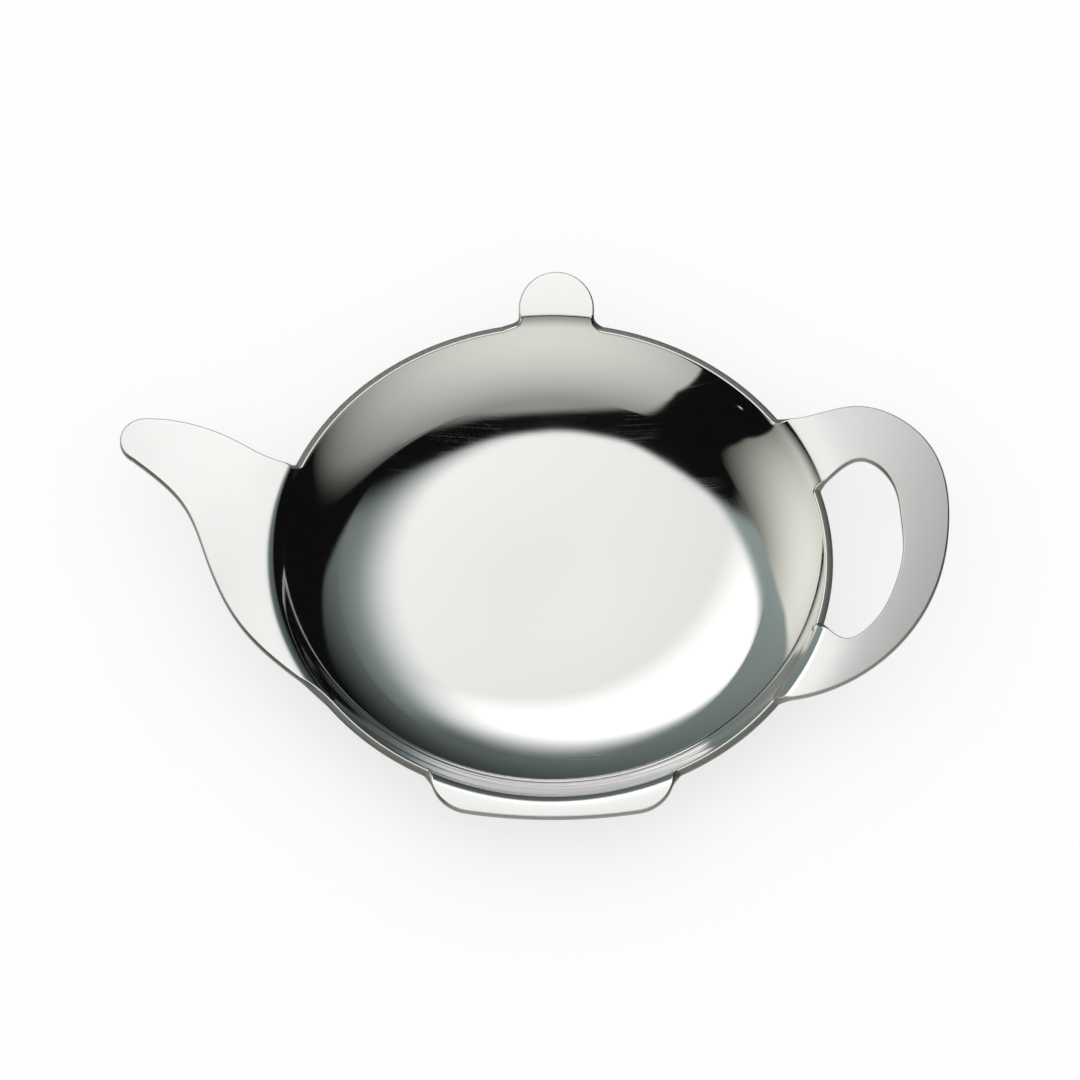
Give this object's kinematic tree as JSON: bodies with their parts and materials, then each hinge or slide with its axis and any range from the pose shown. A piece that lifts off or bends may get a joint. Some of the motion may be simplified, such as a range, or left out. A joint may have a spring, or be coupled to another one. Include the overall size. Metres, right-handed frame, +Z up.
{
  "type": "tea bag rest",
  "caption": "Shallow round dish of polished steel sheet with flat spout, handle, knob and foot tabs in a teapot outline, to lay a used tea bag on.",
  "frame": {"origin": "centre of the flat underside of the floor, where the dish stands on a table", "axes": "+Z up out of the dish, +X towards the handle, +Y towards the lid knob"},
  "size_m": [0.12, 0.0924, 0.0104],
  "materials": {
    "polished_steel": "bright polished stainless sheet"
  },
  "bodies": {
    "root": {"bowl": "polished_steel", "spout": "polished_steel", "handle": "polished_steel", "lid_knob": "polished_steel", "foot": "polished_steel"}
  },
  "joints": []
}
